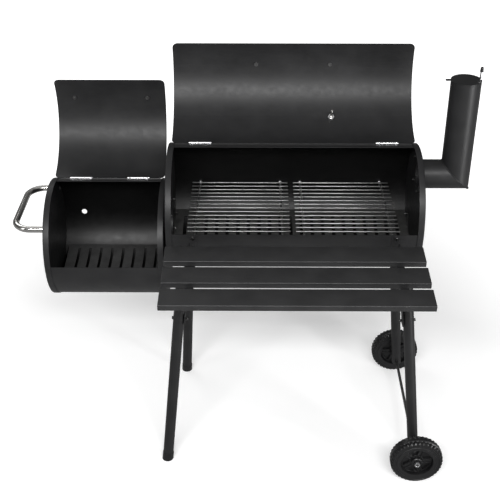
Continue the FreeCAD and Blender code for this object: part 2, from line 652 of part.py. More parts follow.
def build_thermometer():
    """A dial thermometer: case with threaded stem and probe, dial, needle, lens and inside nut."""
    aim = radial(GAUGE_DEG)
    seat = on_barrel(GAUGE_X, MAIN_RADIUS + LID_LIFT + SHEET, GAUGE_DEG, MAIN_AXIS_Z) + aim * 0.3
    front = seat + aim * GAUGE_DEPTH
    collar = rod(seat, seat + aim * 4, 9)
    cup = rod(seat + aim * 3, front, GAUGE_RADIUS).cut(
        rod(seat + aim * (3 + GAUGE_WALL), front, GAUGE_RADIUS - GAUGE_WALL))
    stem = rod(seat - aim * 12, seat + aim * 1, STEM_RADIUS)
    probe = rod(seat - aim * (12 + PROBE_LENGTH), seat, PROBE_RADIUS)
    pieces = {
        "thermometer_case": fuse([collar, cup, stem, probe]),
        "thermometer_dial": rod(seat + aim * (3 + GAUGE_WALL + 0.1), seat + aim * 7,
                                GAUGE_RADIUS - GAUGE_WALL - 0.2),
        "thermometer_lens": rod(front - aim * 2.6, front - aim * 0.6, GAUGE_RADIUS - GAUGE_WALL - 0.2),
        "thermometer_needle": thermometer_needle(seat + aim * 7.4, aim),
    }
    nut_seat = seat - aim * (SHEET + 0.5)
    nut = hexagon(nut_seat, aim * -1, 14, 4).cut(rod(seat, seat - aim * 20, STEM_RADIUS + NUT_GAP))
    pieces["thermometer_nut"] = nut
    for node, shape in pieces.items():
        add(node, opened(shape, MAIN_PIN, MAIN_OPENING_DEG))


def thermometer_needle(base, aim):
    """A thin pointer with a round hub, pointing up and to the left on the dial."""
    up = radial(GAUGE_DEG - 90)
    way = (up - ALONG_X).normalize()
    across = aim.cross(way).normalize()
    pointer = prism([base + across * 1.4 - way * 8, base + way * (GAUGE_RADIUS - 8),
                     base - across * 1.4 - way * 8], aim * 0.8)
    return fuse([pointer, rod(base, base + aim * 1.6, 2.6)])


def vent_hole_centres():
    return [VENT_CENTRE + radial(45 + 90 * k) * VENT_HOLE_CIRCLE for k in range(VENT_HOLES)]


def build_air_vent():
    """A turning disc with four holes, on a rivet through the firebox's left end."""
    face = FIRE_LEFT - 0.4
    low, high = VENT_Y - VENT_TAB, VENT_Y + VENT_TAB
    top = VENT_Z + VENT_RADIUS + VENT_TAB_RISE
    disc = rod(vec(face - SHEET, VENT_Y, VENT_Z), vec(face, VENT_Y, VENT_Z), VENT_RADIUS)
    tab = box((face - SHEET, low, VENT_Z + VENT_RADIUS - 4), (face, high, top))
    grip = box((face - SHEET - 10, low, top - SHEET), (face - SHEET + 0.1, high, top))
    holes = [rod(p - ALONG_X * 5, p + ALONG_X * 5, VENT_HOLE) for p in vent_hole_centres()]
    bore = rod(VENT_CENTRE - ALONG_X * 5, VENT_CENTRE + ALONG_X * 5, SCREW_RADIUS + PIN_CLEARANCE)
    add("air_vent_shutter", fuse([disc, tab, grip]).cut(holes + [bore]))
    outside = face - SHEET - 0.3
    inside = FIRE_LEFT + SHEET + CONTACT_GAP
    shank = rod(vec(outside - 0.5, VENT_Y, VENT_Z), vec(inside + 0.5, VENT_Y, VENT_Z), SCREW_RADIUS)
    heads = [rod(vec(outside - 1.6, VENT_Y, VENT_Z), vec(outside, VENT_Y, VENT_Z), SCREW_HEAD),
             rod(vec(inside, VENT_Y, VENT_Z), vec(inside + 1.6, VENT_Y, VENT_Z), SCREW_HEAD)]
    add("air_vent_rivet", fuse([shank] + heads))


def build_side_handle():
    """The D-handle on the firebox's end, by which the smoker is lifted and wheeled."""
    out = ALONG_X * -1
    feet = [p + out * CONTACT_GAP for p in SIDE_HANDLE_ENDS]
    tops = [p + out * (SIDE_HANDLE_STANDOFF - CONTACT_GAP) for p in feet]
    bar = rounded_rod([feet[0], tops[0], tops[1], feet[1]], SIDE_HANDLE_RADIUS, SIDE_HANDLE_BEND)
    sockets = [rod(p - out * 5, p + out * 18, SCREW_RADIUS + NUT_GAP) for p in feet]
    add("side_handle", bar.cut(sockets))
    screws = []
    for p in SIDE_HANDLE_ENDS:
        seat = p - out * (SHEET + CONTACT_GAP)
        head = rod(seat, seat - out * 2.4, SCREW_HEAD)
        screws.append(fuse([head, rod(seat - out, seat + out * 16, SCREW_RADIUS)]))
    add("side_handle_screws", *screws)


def build_chimney():
    half = MAIN_LENGTH / 2
    inner = STACK_RADIUS - SHEET
    face = half + CONTACT_GAP
    plate_end = face + FLANGE_PLATE
    plate = rod(vec(face, 0, STACK_AXIS_Z), vec(plate_end, 0, STACK_AXIS_Z), FLANGE_RADIUS)
    holes = [bolt_hole(vec(half, p.y, p.z), ALONG_X, 8) for p in STACK_BOLTS]
    holes.append(rod(vec(half - 5, 0, STACK_AXIS_Z), vec(half + 8, 0, STACK_AXIS_Z), inner))
    add("chimney_flange", plate.cut(holes))

    # the two pipes meet on a plane at 45 degrees through the corner of their axes
    corner = vec(STACK_X, 0, STACK_AXIS_Z)
    big = 400.0
    outline = [corner + vec(-big, -big, big), corner + vec(big, -big, -big), corner + vec(big, -big, big)]
    above = prism(outline, vec(0, 2 * big, 0))
    flat = rod(vec(plate_end, 0, STACK_AXIS_Z), vec(STACK_X + 60, 0, STACK_AXIS_Z), STACK_RADIUS)
    flat_bore = rod(vec(half, 0, STACK_AXIS_Z), vec(STACK_X + 61, 0, STACK_AXIS_Z), inner)
    tall = rod(vec(STACK_X, 0, STACK_AXIS_Z - 60), vec(STACK_X, 0, STACK_TOP), STACK_RADIUS)
    tall_bore = rod(vec(STACK_X, 0, STACK_AXIS_Z - 61), vec(STACK_X, 0, STACK_TOP + 1), inner)
    add("chimney_elbow", flat.cut([above, flat_bore]))
    ear = box((KNOB_X - 5, -6, STACK_TOP - 14), (KNOB_X + 4, 6, STACK_TOP - 11))
    post_hole = rod(vec(KNOB_X, 0, STACK_TOP - 20), vec(KNOB_X, 0, STACK_TOP), POST_RADIUS + NUT_GAP)
    stack = tall.common(above).cut(tall_bore)
    post_ear = ear.common(rod(vec(STACK_X, 0, STACK_TOP - 20), vec(STACK_X, 0, STACK_TOP),
                               STACK_RADIUS - SHEET / 2))
    add("chimney_stack", fuse([stack, post_ear]).cut(post_hole))


def build_damper():
    """The swivelling cap on the stack, on a post with a sleeve and a knob."""
    low = STACK_TOP + DAMPER_LIFT
    high = low + SHEET
    disc = rod(vec(STACK_X, 0, low), vec(STACK_X, 0, high), DAMPER_RADIUS)
    tab = box((STACK_X - DAMPER_RADIUS - DAMPER_TAB, -5, low), (STACK_X - DAMPER_RADIUS + 3, 5, high))
    bore = rod(vec(KNOB_X, 0, low - 1), vec(KNOB_X, 0, high + 1), POST_RADIUS + PIN_CLEARANCE)
    add("chimney_damper", fuse([disc, tab]).cut(bore))

    sleeve_low = high + 0.3
    sleeve_high = sleeve_low + SLEEVE_HEIGHT
    knob_top = sleeve_high + KNOB_HEIGHT
    head_z = STACK_TOP - 14 - CONTACT_GAP
    post = fuse([rod(vec(KNOB_X, 0, head_z), vec(KNOB_X, 0, knob_top - 3), POST_RADIUS),
                 rod(vec(KNOB_X - 1.5, 0, head_z - 2), vec(KNOB_X - 1.5, 0, head_z), 2.6)])
    add("damper_post", post)
    add("damper_sleeve", pipe(vec(KNOB_X, 0, sleeve_low), vec(KNOB_X, 0, sleeve_high), SLEEVE_RADIUS,
                              SLEEVE_RADIUS - POST_RADIUS - NUT_GAP))
    knob = Part.makeCone(KNOB_RADIUS, KNOB_RADIUS - 0.9, KNOB_HEIGHT, vec(KNOB_X, 0, sleeve_high))
    top_edges = [e for e in knob.Edges if e.BoundBox.ZMin > knob_top - 0.01]
    knob = knob.makeFillet(1.5, top_edges)
    bore = rod(vec(KNOB_X, 0, sleeve_high - 1), vec(KNOB_X, 0, knob_top - 3 + NUT_GAP),
               POST_RADIUS + NUT_GAP)
    add("damper_knob", knob.cut(bore))


def tilted(shape):
    """Shelf parts are laid out level and then drooped a little towards the front."""
    return turn(shape, vec(0, SHELF_PIVOT_Y, SHELF_PIVOT_Z), SHELF_TILT_DEG)


def bracket_bolt_at(side, deg):
    x = side * (BRACKET_X - BRACKET_FLANGE / 2)
    return on_barrel(x, MAIN_RADIUS - SHELL_DROP + CONTACT_GAP, deg, MAIN_AXIS_Z)


def slat_front_y(k):
    """Front edge of slat k, before the droop, so that the drooped shelf starts at SHELF_FRONT_Y."""
    level = (SHELF_FRONT_Y - SHELF_PIVOT_Y) / math.cos(math.radians(SHELF_TILT_DEG))
    return SHELF_PIVOT_Y + level + k * SLAT_PITCH


def build_shelf():
    half = SLAT_LENGTH / 2
    top = SHELF_PIVOT_Z
    screws = []
    for k, name in enumerate(SLATS):
        front = slat_front_y(k)
        back = front + SLAT_WIDTH
        low = (SHELF_CENTRE_X - half, front, top - SLAT_LIP)
        high = (SHELF_CENTRE_X + half, back, top)
        tray = box(low, high)
        rim = [e for e in tray.Edges if e.BoundBox.ZMax > top - 0.01 or e.BoundBox.ZLength > 1]
        tray = tray.makeFillet(2.0, rim)
        hollow = box([c + SLAT_SHEET for c in low[:2]] + [low[2] - 1],
                     [c - SLAT_SHEET for c in high])
        add("shelf_slat_" + name, tilted(tray.cut(hollow)))
        for side in (-1, 1):
            x = side * (BRACKET_X - BRACKET_FLANGE / 2)
            y = (front + back) / 2
            flange_low = top - SLAT_LIP - CONTACT_GAP - BRACKET_PLATE
            stud = rod(vec(x, y, flange_low - 7), vec(x, y, top - SLAT_SHEET - CONTACT_GAP), SCREW_RADIUS)
            nut = hexagon(vec(x, y, flange_low - CONTACT_GAP), ALONG_Z * -1, 8, 4)
            screws.append(tilted(fuse([stud, nut])))
    add("shelf_screws", *screws)

    for side, name in ((-1, "left"), (1, "right")):
        add("shelf_bracket_" + name, shelf_bracket(side))


def shelf_bracket(side):
    """An angle under the slats, a gusset, and a tab bolted on the barrel's front."""
    top = SHELF_PIVOT_Z - SLAT_LIP - CONTACT_GAP
    outside = side * BRACKET_X
    web = prism([vec(outside, BRACKET_FRONT_Y, top), vec(outside, -130, top),
                 vec(outside, -130, top - BRACKET_HEEL), vec(outside, -165, top - BRACKET_HEEL),
                 vec(outside, BRACKET_FRONT_Y, top - BRACKET_TOE)], vec(-side * BRACKET_PLATE, 0, 0))
    xs = sorted((outside, outside - side * BRACKET_FLANGE))
    flange = box((xs[0], BRACKET_FRONT_Y, top - BRACKET_PLATE), (xs[1], -165, top))
    arm = tilted(fuse([web, flange]))
    inner = MAIN_RADIUS - SHELL_DROP + CONTACT_GAP
    tab = curved_plate(xs, inner, inner + 2, BRACKET_TAB_DEG, MAIN_AXIS_Z)
    barrel = rod(vec(-400, 0, MAIN_AXIS_Z), vec(400, 0, MAIN_AXIS_Z), inner)
    holes = [bolt_hole(bracket_bolt_at(side, deg), radial(deg), 12) for deg in BRACKET_BOLT_DEG]
    middle = SHELF_PIVOT_Z - SLAT_LIP
    for k in range(len(SLATS)):
        y = slat_front_y(k) + SLAT_WIDTH / 2
        x = side * (BRACKET_X - BRACKET_FLANGE / 2)
        hole = rod(vec(x, y, middle - 20), vec(x, y, middle + 5), SCREW_RADIUS + HOLE_GAP)
        holes.append(tilted(hole))
    return fuse([arm.cut(barrel), tab]).cut(holes)


def leg_frame(node):
    """A leg's top, its direction downwards, and its two cross directions (across X, towards Y)."""
    foot, top = LEGS[node]
    start = vec(top[0], top[1], LEG_TOP_Z)
    down = (vec(foot[0], foot[1], 0) - start).normalize()
    across = (ALONG_X - down * ALONG_X.dot(down)).normalize()
    return start, down, across, down.cross(across).normalize()


def build_legs():
    bolts = []
    for node, (foot, top) in LEGS.items():
        start, down, across, sideways = leg_frame(node)
        inboard = -1 if top[0] > 0 else 1
        tube = pipe(start, start + down * (LEG_TOP_Z * 1.2), LEG_RADIUS, LEG_WALL)
        wheeled = node.endswith("right")
        end_z = AXLE_Z - 16 if wheeled else FOOT_FLOOR + CONTACT_GAP
        cutters = [box((-900, -900, -900), (900, 900, end_z))]
        if wheeled:
            at = leg_at_axle(node)
            cutters.append(rod(at - ALONG_Y * 40, at + ALONG_Y * 40, AXLE_RADIUS + HOLE_GAP))
        for distance in LEG_BOLTS:
            centre = start + down * distance
            cutters.append(bolt_hole(centre, across, 40))
            seat = centre - across * inboard * (LEG_RADIUS + CONTACT_GAP)
            bolts += bolt(seat, across * inboard, 2 * LEG_RADIUS + LEG_PLATE + 4 * CONTACT_GAP)
        add(node, tube.cut(cutters))
        add(node.replace("leg", "leg_bracket", 1), leg_bracket(node, inboard))
    add("leg_bolts", *bolts)


def leg_at_axle(node):
    start, down, across, sideways = leg_frame(node)
    at = start + down * ((AXLE_Z - start.z) / down.z)
    return vec(AXLE_X, at.y, AXLE_Z)


def leg_bracket(node, inboard):
    """A plate beside the leg's top, cut to the barrel's underside."""
    start, down, across, sideways = leg_frame(node)
    middle = -1 if start.y > 0 else 1
    inward = sideways * (middle if sideways.y > 0 else -middle)
    face = start + across * inboard * (LEG_RADIUS + 2 * CONTACT_GAP)
    outline = [face + down * LEG_PLATE_END - inward * 11, face + down * LEG_PLATE_END + inward * 11,
               face + down * 60 + inward * 20, face - down * 5 + inward * 75,
               face - down * 60 + inward * 40, face - down * 28 - inward * 16,
               face + down * 10 - inward * 16]
    plate = prism(outline, across * inboard * LEG_PLATE)
    barrel = rod(vec(-400, 0, MAIN_AXIS_Z), vec(400, 0, MAIN_AXIS_Z),
                 MAIN_RADIUS - SHELL_DROP + CONTACT_GAP)
    holes = [bolt_hole(start + down * distance, across, 40) for distance in LEG_BOLTS]
    return plate.cut([barrel] + holes)


def build_foot_caps():
    """Plastic caps on the two legs without wheels, flat on the floor."""
    caps = []
    for node in ("leg_front_left", "leg_rear_left"):
        start, down, across, sideways = leg_frame(node)
        floor = start + down * (-start.z / down.z)
        outer = rod(floor - down * FOOT_HEIGHT, floor + down * 10, FOOT_RADIUS)
        bore = rod(floor - down * (FOOT_HEIGHT + 5), floor + down * 10, LEG_RADIUS + CONTACT_GAP)
        bore = bore.cut(box((-900, -900, -50), (900, 900, FOOT_FLOOR)))
        caps.append(outer.cut([bore, box((-900, -900, -50), (900, 900, 0))]))
    add("foot_caps", *caps)


def wheel(y_range):
    """A moulded wheel: tread ring, recessed closed web, five raised spokes, and a boss."""
    front, back = y_range
    middle = (front + back) / 2
    centre = vec(AXLE_X, 0, AXLE_Z)
    tyre = barrel_along_y(front, back, WHEEL_RADIUS)
    rims = [e for e in tyre.Edges if e.BoundBox.YLength < 0.01]
    tyre = tyre.makeFillet(WHEEL_SHOULDER, rims).cut(barrel_along_y(front, back, WHEEL_RIM_IN))
    web = barrel_along_y(middle - WHEEL_WEB / 2, middle + WHEEL_WEB / 2, WHEEL_RIM_IN + 0.5)
    spokes = []
    for k in range(SPOKES):
        spoke = box((AXLE_X - SPOKE_WIDTH / 2, middle - SPOKE_DEPTH / 2, AXLE_Z),
                    (AXLE_X + SPOKE_WIDTH / 2, middle + SPOKE_DEPTH / 2, AXLE_Z + WHEEL_RIM_IN + 1))
        spoke.rotate(centre, ALONG_Y, 360 / SPOKES * k)
        spokes.append(spoke)
    boss = barrel_along_y(front + WHEEL_BOSS_RECESS, back, WHEEL_BOSS)
    bore = barrel_along_y(front - 1, back + 1, AXLE_RADIUS + AXLE_CLEARANCE)
    return fuse([tyre, web, boss] + spokes).cut(bore)


def barrel_along_y(low, high, radius):
    """A cylinder about the axle's line."""
    return rod(vec(AXLE_X, low, AXLE_Z), vec(AXLE_X, high, AXLE_Z), radius)


def build_wheels():
    centre = vec(AXLE_X, 0, AXLE_Z)
    add("front_wheel", wheel(WHEEL_FRONT_Y))
    rear = wheel((-WHEEL_REAR_Y[1], -WHEEL_REAR_Y[0]))
    rear.rotate(centre, ALONG_Z, 180)
    add("rear_wheel", rear)
    add("axle_rod", rod(centre + ALONG_Y * AXLE_FRONT, centre + ALONG_Y * AXLE_REAR, AXLE_RADIUS))
    nuts = [hexagon(centre + ALONG_Y * (WHEEL_FRONT_Y[0] - WHEEL_SIDE_GAP), ALONG_Y * -1,
                    AXLE_NUT_FLATS, AXLE_NUT_HEIGHT),
            hexagon(centre + ALONG_Y * (WHEEL_REAR_Y[1] + WHEEL_SIDE_GAP), ALONG_Y,
                    AXLE_NUT_FLATS, AXLE_NUT_HEIGHT)]
    bore = rod(centre + ALONG_Y * (AXLE_FRONT - 1), centre + ALONG_Y * (AXLE_REAR + 1),
               AXLE_RADIUS + NUT_GAP)
    add("axle_nuts", *[nut.cut(bore) for nut in nuts])
    front_leg = leg_at_axle("leg_front_right").y - LEG_RADIUS - 1
    rear_leg = leg_at_axle("leg_rear_right").y + LEG_RADIUS + 1
    spacers = [rod(centre + ALONG_Y * (WHEEL_FRONT_Y[1] + WHEEL_SIDE_GAP), centre + ALONG_Y * front_leg,
                   SPACER_RADIUS),
               rod(centre + ALONG_Y * rear_leg, centre + ALONG_Y * (WHEEL_REAR_Y[0] - WHEEL_SIDE_GAP),
                   SPACER_RADIUS)]
    add("axle_spacers", *[spacer.cut(bore) for spacer in spacers])


def main():
    half = MAIN_LENGTH / 2
    build_main_barrel()
    build_firebox()
    build_flue_collar()
    build_body_bolts()
    build_grate_rests()
    build_charcoal_pan()
    build_firebox_grate()
    for node, centre in zip(("cooking_grate_left", "cooking_grate_right"), GRATE_CENTRES):
        build_cooking_grate(node, centre)
    build_lid("main_lid", (-half, half), 0, MAIN_RADIUS, MAIN_AXIS_Z, MAIN_HINGE_DEG, MAIN_LIP_DEG,
              MAIN_OPENING_DEG, MAIN_HANDLE_DEG, MAIN_PIN, MAIN_HINGE_X)
    build_lid("firebox_lid", (FIRE_LEFT, FIRE_RIGHT), FIRE_CENTRE, FIRE_RADIUS, FIRE_AXIS_Z,
              FIRE_HINGE_DEG, FIRE_LIP_DEG, FIRE_OPENING_DEG, FIRE_HANDLE_DEG, FIRE_PIN, FIRE_HINGE_X)
    build_hinges()
    build_thermometer()
    build_air_vent()
    build_side_handle()
    build_chimney()
    build_damper()
    build_shelf()
    build_legs()
    build_foot_caps()
    build_wheels()
    os.makedirs("parts", exist_ok=True)
    for node, shape in parts.items():
        assert shape.isValid(), node
        shape.exportStep("parts/" + node + ".step")
    print(len(parts), "nodes")


main()
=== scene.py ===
import json
import math

import bmesh
import bpy
from mathutils import Matrix, Vector, noise


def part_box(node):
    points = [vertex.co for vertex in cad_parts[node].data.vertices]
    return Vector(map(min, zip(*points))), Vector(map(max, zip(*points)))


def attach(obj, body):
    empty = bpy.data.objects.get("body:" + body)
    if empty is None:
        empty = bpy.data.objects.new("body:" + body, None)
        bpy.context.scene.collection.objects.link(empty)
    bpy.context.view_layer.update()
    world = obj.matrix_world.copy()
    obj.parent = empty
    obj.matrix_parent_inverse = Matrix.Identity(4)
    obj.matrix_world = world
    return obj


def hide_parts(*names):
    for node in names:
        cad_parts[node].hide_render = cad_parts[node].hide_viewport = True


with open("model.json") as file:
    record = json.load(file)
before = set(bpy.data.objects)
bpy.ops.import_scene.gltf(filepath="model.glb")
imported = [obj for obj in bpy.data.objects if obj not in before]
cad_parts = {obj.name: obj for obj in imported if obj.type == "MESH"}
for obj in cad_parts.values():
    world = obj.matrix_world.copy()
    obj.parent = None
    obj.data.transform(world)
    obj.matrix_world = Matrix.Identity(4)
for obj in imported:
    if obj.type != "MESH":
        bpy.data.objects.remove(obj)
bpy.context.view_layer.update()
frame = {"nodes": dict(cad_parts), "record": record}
record = frame["record"]
SLOT_OF = {row["node"]: row["material_slot"] for row in record["subparts"]}
BODY_OF = {node: body for body, nodes in record["behaviour"]["bodies"].items() for node in nodes}
JOINT = {joint["name"]: joint for joint in record["behaviour"]["joints"]}
MM = 0.001

# the camera, in metres and degrees in the frame of the object
CAMERA_PLACE = (0.0342, -2.0541, 1.8756)
CAMERA_PITCH = 31.537
CAMERA_YAW = 0.344
CAMERA_LENS = 69.1
CAMERA_SENSOR = 36

# soft lights: name, place, point they face, width, height (metres) and power (watts)
LIGHTS = (
    ("front", (-0.1, -2.6, 2.55), (0.0, 0.2, 0.9), 2.8, 0.3, 122),
    ("right_strip", (2.05, -1.5, 0.45), (0.5, 0.0, 0.8), 0.3, 1.3, 38),
    ("left", (-2.2, -1.2, 1.5), (-0.4, 0.0, 0.7), 0.5, 1.2, 6),
    ("back_left", (-1.5, 1.7, 2.3), (-0.1, -0.2, 0.7), 1.3, 0.7, 9),
)
# the sky's grey by the height it is seen at, 0 at the horizon and 1 overhead
SKY = ((0.0, 0.36), (0.02, 0.08), (0.45, 0.11), (0.7, 0.24), (0.9, 0.5))
FLOOR_HALF = 40
FLOOR_BELOW = 0.5 * MM
# the floor's glow rises from its least to 1 between these distances from the middle
GLOW_FROM, GLOW_FULL, GLOW_LEAST = 0.9, 2.2, 0.22

# rounding of sheet edges and bolt heads
EDGE = 0.45 * MM
FINE_EDGE = 0.25 * MM
EDGE_OF = {"foot_caps": 0.8 * MM, "thermometer_case": 0.8 * MM, "shelf_slat_front": 1.2 * MM,
           "shelf_slat_middle": 1.2 * MM, "shelf_slat_rear": 1.2 * MM}
SMOOTH_ABOVE = math.radians(32)
ROUND_ABOVE = math.radians(38)
FLAT_BELOW = 0.002       # radians between two faces that are one flat face
OPEN_EDGE = 9            # stands for the angle at an edge that has none
WELD_WITHIN = 0.005 * MM
DOME = 0.6               # how far a wire's end stands out, over its radius

# wheels
SPOKES = 5
LUGS = 38
LUG_DEPTH = 3.0 * MM
LUG_STEEPNESS = 3.0
RIM = 0.60               # the tread's inner radius over the wheel's
BOSS_RADIUS = 14 * MM
BORE_RADIUS = 4.3 * MM
WEB_THICKNESS, SPOKE_THICKNESS, LIP_THICKNESS = 4 * MM, 13 * MM, 17 * MM
WEB_ROUNDING, SPOKE_ROUNDING = 0.5 * MM, 0.8 * MM
WEB_OVERLAP = 0.5 * MM   # how far the web runs into the tread
POCKET_MARGIN, HALF_SPOKE = 3 * MM, 5.5 * MM
LIP_MARGIN, HALF_LIP_SPOKE = 1.6 * MM, 4.0 * MM

# cooking grates
LONG_WIRES = 14
WIRE_RADIUS, CROSS_RADIUS = 2.0 * MM, 2.5 * MM
WIRE_OVERHANG = 9 * MM
CROSS_INSET = 20 * MM
SPOT_WELD = 1.3 * MM
TIP_LENGTH, TIP_SWELL = 12 * MM, 0.25 * MM

# hinges
HINGE_EDGE = 0.18 * MM
KNUCKLE_REACH = 3.3 * MM

# thermometer: its scale runs clockwise from the lower left, in degrees
SCALE_START, SCALE_SWEEP = 225, 270
TICK_GAPS, NUMBER_GAPS, NUMBER_STEP = 30, 6, 50
TICK_OUTER, LONG_TICK_INNER, SHORT_TICK_INNER = 24.5 * MM, 20.5 * MM, 22.4 * MM
LONG_TICK_HALF, SHORT_TICK_HALF = 0.38 * MM, 0.2 * MM
NUMBER_SIZE, NUMBER_RADIUS = 5.2 * MM, 16.5 * MM
PRINT_LIFT = 0.06 * MM
BEZEL_RADIUS, BEZEL_LIFT = 27.6 * MM, 0.6 * MM
BEZEL_HALF_WIDTH, BEZEL_HALF_HEIGHT = 1.5 * MM, 1.1 * MM

# chimney
BEAD_RADIUS = 1.5 * MM
BEAD_RIPPLES, RIPPLE_DEPTH = 60, 0.16
LUMPS_PER_METRE, LUMP_DEPTH = 120, 0.2
KNOB_RIBS = 16


# ---------------------------------------------------------------- materials

def new_material(name):
    """A material with its shader and its object coordinates."""
    material = bpy.data.materials.new(name)
    material.use_nodes = True
    nodes = material.node_tree.nodes
    coords = nodes.new("ShaderNodeTexCoord")
    return material, nodes["Principled BSDF"], coords.outputs["Object"]


def noise_node(material, coords, scale, detail):
    """Noise over the object's coordinates, from 0 to 1."""
    nodes, links = material.node_tree.nodes, material.node_tree.links
    texture = nodes.new("ShaderNodeTexNoise")
    texture.inputs["Scale"].default_value = scale
    texture.inputs["Detail"].default_value = detail
    links.new(coords, texture.inputs["Vector"])
    return texture.outputs["Fac"]


def ramp(material, value, stops):
    """A colour ramp of a material or the world, through (position, grey or colour) stops."""
    nodes, links = material.node_tree.nodes, material.node_tree.links
    node = nodes.new("ShaderNodeValToRGB")
    elements = node.color_ramp.elements
    while len(elements) < len(stops):
        elements.new(0.5)
    for element, (place, colour) in zip(elements, stops):
        element.position = place
        element.color = (*colour, 1) if isinstance(colour, tuple) else (colour, colour, colour, 1)
    links.new(value, node.inputs["Fac"])
    return node.outputs["Color"]


def bump(material, shader, value, height, distance):
    """Fine relief on the surface, without moving it."""
    nodes, links = material.node_tree.nodes, material.node_tree.links
    node = nodes.new("ShaderNodeBump")
    node.inputs["Strength"].default_value = height
    node.inputs["Distance"].default_value = distance
    links.new(value, node.inputs["Height"])
    links.new(node.outputs["Normal"], shader.inputs["Normal"])


def textured(name, dark, light, rough, metallic=0.0, patches=18.0, grain=900.0, grain_height=0.12,
             specular=0.5):
    """A surface with soft patches of colour and gloss over a fine grain."""
    material, shader, coords = new_material(name)
    links = material.node_tree.links
    cloud = noise_node(material, coords, patches, 6.0)
    links.new(ramp(material, cloud, ((0.3, dark), (0.72, light))), shader.inputs["Base Color"])
    gloss = noise_node(material, coords, patches * 4, 5.0)
    links.new(ramp(material, gloss, ((0.25, rough[0]), (0.75, rough[1]))), shader.inputs["Roughness"])
    fine = noise_node(material, coords, grain, 3.0)
    bump(material, shader, fine, grain_height, 0.2 * MM)
    shader.inputs["Metallic"].default_value = metallic
    shader.inputs["Specular IOR Level"].default_value = specular
    return material


def glass_material():
    """Clear glass with faint smears."""
    material, shader, coords = new_material("lens_glass")
    smear = noise_node(material, coords, 60.0, 4.0)
    links = material.node_tree.links
    links.new(ramp(material, smear, ((0.3, 0.02), (0.8, 0.09))), shader.inputs["Roughness"])
    links.new(ramp(material, smear, ((0.2, 0.93), (0.8, 1.0))), shader.inputs["Base Color"])
    shader.inputs["Transmission Weight"].default_value = 0.96
    shader.inputs["IOR"].default_value = 1.5
    shader.inputs["Alpha"].default_value = 0.35
    return material


def bottom_greyed_material(name, dark, light, low, high):
    """Enamelled steel, greyer towards the bottom."""
    material = textured(name, dark, dark, (0.42, 0.6), specular=0.35, grain=600.0, grain_height=0.2)
    nodes, links = material.node_tree.nodes, material.node_tree.links
    shader = nodes["Principled BSDF"]
    coords = nodes["Texture Coordinate"].outputs["Object"]
    split = nodes.new("ShaderNodeSeparateXYZ")
    links.new(coords, split.inputs["Vector"])
    reach = nodes.new("ShaderNodeMapRange")
    reach.inputs["From Min"].default_value = high
    reach.inputs["From Max"].default_value = low
    links.new(split.outputs["Z"], reach.inputs["Value"])
    cloud = noise_node(material, coords, 40.0, 6.0)
    mix = nodes.new("ShaderNodeMath")
    mix.operation = "MULTIPLY"
    links.new(reach.outputs["Result"], mix.inputs[0])
    links.new(cloud, mix.inputs[1])
    links.new(ramp(material, mix.outputs["Value"], ((0.0, dark), (0.7, light))),
              shader.inputs["Base Color"])
    return material


PAINT = textured("black_paint", (0.0085, 0.0085, 0.009), (0.0135, 0.0135, 0.014), (0.40, 0.50),
                 specular=0.32, grain=1400.0, grain_height=0.16)
# a darker copy of the black paint: painted shade for the inside of the barrels
SHADED_PAINT_INSIDE = textured("black_paint_painted_shade_inside", (0.0015, 0.0015, 0.0016), (0.003, 0.003, 0.003), (0.36, 0.46),
                        specular=0.26, grain=1100.0, grain_height=0.2)
# a lighter copy of the black paint: painted light on the shelf slats
LIT_SLAT_PAINT = textured("slat_paint_painted_light", (0.012, 0.012, 0.0125), (0.02, 0.02, 0.0205), (0.36, 0.46),
                      specular=0.4, grain=1300.0, grain_height=0.15)
GRATE_STEEL = textured("grate_steel", (0.19, 0.19, 0.19), (0.32, 0.32, 0.315), (0.28, 0.42), metallic=1.0,
                       grain=1500.0, grain_height=0.12)
# bright zinc for bolts and rests, and painted highlights on hinge knuckles and cross-wire ends
ZINC_AND_PAINTED_HIGHLIGHT = textured("zinc_steel", (0.62, 0.62, 0.64), (0.82, 0.82, 0.82), (0.22, 0.38), metallic=1.0,
                patches=120.0, grain=2500.0, grain_height=0.1)
CHROME = textured("bright_chrome", (0.56, 0.55, 0.53), (0.7, 0.69, 0.67), (0.12, 0.2), metallic=1.0,
                  grain=2200.0, grain_height=0.03)
# dark steel for the dark screws and bolts, and painted shade on the grates' cross wires
DARK_STEEL_AND_PAINTED_SHADE = textured("dark_steel", (0.09, 0.09, 0.09), (0.22, 0.22, 0.22), (0.24, 0.4), metallic=1.0,
                      patches=120.0, grain=2500.0, grain_height=0.1)
PLASTIC = textured("black_plastic", (0.004, 0.004, 0.0045), (0.008, 0.008, 0.0085), (0.3, 0.42),
                   specular=0.42, grain=1800.0, grain_height=0.22)
RED = textured("needle_red", (0.5, 0.02, 0.015), (0.66, 0.04, 0.03), (0.3, 0.42))
INK = textured("dial_ink", (0.01, 0.01, 0.01), (0.02, 0.02, 0.02), (0.4, 0.55))
DIAL = textured("dial_enamel", (0.72, 0.71, 0.67), (0.86, 0.86, 0.83), (0.3, 0.42), grain_height=0.03)
GLASS = glass_material()
COAL_GRATE = bottom_greyed_material("coal_grate_enamel", (0.014, 0.014, 0.014), (0.06, 0.06, 0.06), 0.48, 0.56)
PAN_ENAMEL = bottom_greyed_material("pan_enamel", (0.012, 0.012, 0.012), (0.085, 0.085, 0.083), 0.57, 0.64)
MATERIAL_OF_SLOT = {
    "black_paint": PAINT, "grate_steel": GRATE_STEEL, "zinc_steel": ZINC_AND_PAINTED_HIGHLIGHT, "bright_chrome": CHROME,
    "dark_steel": DARK_STEEL_AND_PAINTED_SHADE, "black_plastic": PLASTIC, "dial_white": DIAL, "needle_red": RED,
    "lens_glass": GLASS,
}
MATERIAL_OF_NODE = {
    "shelf_slat_front": LIT_SLAT_PAINT, "shelf_slat_middle": LIT_SLAT_PAINT, "shelf_slat_rear": LIT_SLAT_PAINT,
    "firebox_charcoal_grate": COAL_GRATE, "charcoal_pan": PAN_ENAMEL,
}


# ---------------------------------------------------------------- mesh helpers

